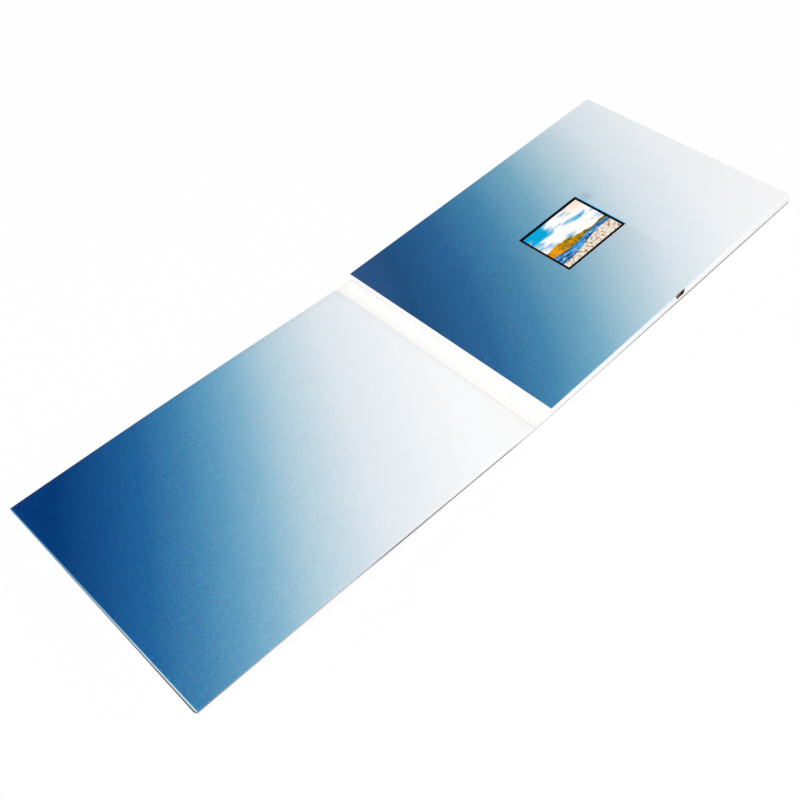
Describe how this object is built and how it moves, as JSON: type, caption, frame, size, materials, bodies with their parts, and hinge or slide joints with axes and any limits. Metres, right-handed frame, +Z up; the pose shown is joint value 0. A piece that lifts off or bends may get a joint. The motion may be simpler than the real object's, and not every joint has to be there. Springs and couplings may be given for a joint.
{
  "type": "lcd video brochure",
  "caption": "Flat card video brochure, open: a lifted front cover on a creased spine beside a thin block with a small display, socket, board, battery and speaker inside.",
  "frame": {"origin": "middle of the block's underside, on the surface that the brochure lies on", "axes": "+X runs from the spine across the block, so the open cover lies on the -X side; +Y runs to the back, where the top of the display's picture points; +Z is up"},
  "size_m": [0.4309, 0.148, 0.0149],
  "materials": {
    "outer_paper": "satin",
    "print_paper": "satin",
    "lining_paper": "satin",
    "board": "matte",
    "foam": "matte",
    "white_plastic": "satin",
    "clear_plastic": "gloss",
    "lamp": "gloss",
    "display_glass": "gloss",
    "black_film": "matte",
    "chip": "matte",
    "flex": "satin",
    "circuit_board": "satin",
    "ceramic": "matte",
    "steel": "satin",
    "contact_brass": "satin",
    "connector_plastic": "matte",
    "black_plastic": "matte",
    "battery_foil": "satin",
    "red_insulation": "satin",
    "black_insulation": "satin",
    "magnet_nickel": "polished",
    "speaker_film": "satin"
  },
  "bodies": {
    "block": {"back_cover_outer_sheet": "outer_paper", "back_cover_board": "board", "side_strip_back": "board", "side_strip_front_left": "board", "side_strip_front_right": "board", "side_strip_outer": "board", "side_strip_hinge": "board", "block_print_sheet": "print_paper", "foam_filler": "foam", "display_pad": "foam", "backlight_tray": "white_plastic", "light_guide": "clear_plastic", "backlight_leds": "lamp", "diffuser_film": "white_plastic", "display_glass": "display_glass", "screen_mask": "black_film", "display_driver_chip": "chip", "display_flex": "flex", "board_pad": "foam", "main_board": "circuit_board", "video_processor": "chip", "flash_memory": "chip", "audio_amplifier": "chip", "crystal": "steel", "board_passives": "ceramic", "battery_connector": "connector_plastic", "speaker_connector": "connector_plastic", "switch_connector": "connector_plastic", "usb_shell": "steel", "usb_insulator": "black_plastic", "usb_contacts": "contact_brass", "battery_cell": "battery_foil", "battery_protection_board": "circuit_board", "battery_pad": "foam", "battery_lead_red": "red_insulation", "battery_lead_black": "black_insulation", "speaker_magnet": "magnet_nickel", "speaker_basket": "steel", "speaker_cone": "speaker_film", "speaker_gasket": "foam", "speaker_leads": "red_insulation", "switch_pad": "foam", "switch_board": "circuit_board", "hall_sensor": "chip", "switch_leads": "black_insulation"},
    "spine": {"spine_outer_sheet": "outer_paper", "spine_lining": "lining_paper"},
    "front_cover": {"front_cover_outer_sheet": "outer_paper", "front_cover_board": "board", "cover_magnet": "magnet_nickel", "front_cover_inner_sheet": "print_paper"}
  },
  "joints": [
    {"name": "spine_crease", "type": "hinge", "parent": "block", "child": "spine", "pos_m": [-0.1057, 0, 0.00013], "axis": [0, 1, 0], "range_deg": [0, 90]},
    {"name": "cover_crease", "type": "hinge", "parent": "spine", "child": "front_cover", "pos_m": [-0.1156, 0, 0.00013], "axis": [0, 1, 0], "range_deg": [0, 86.8]}
  ]
}
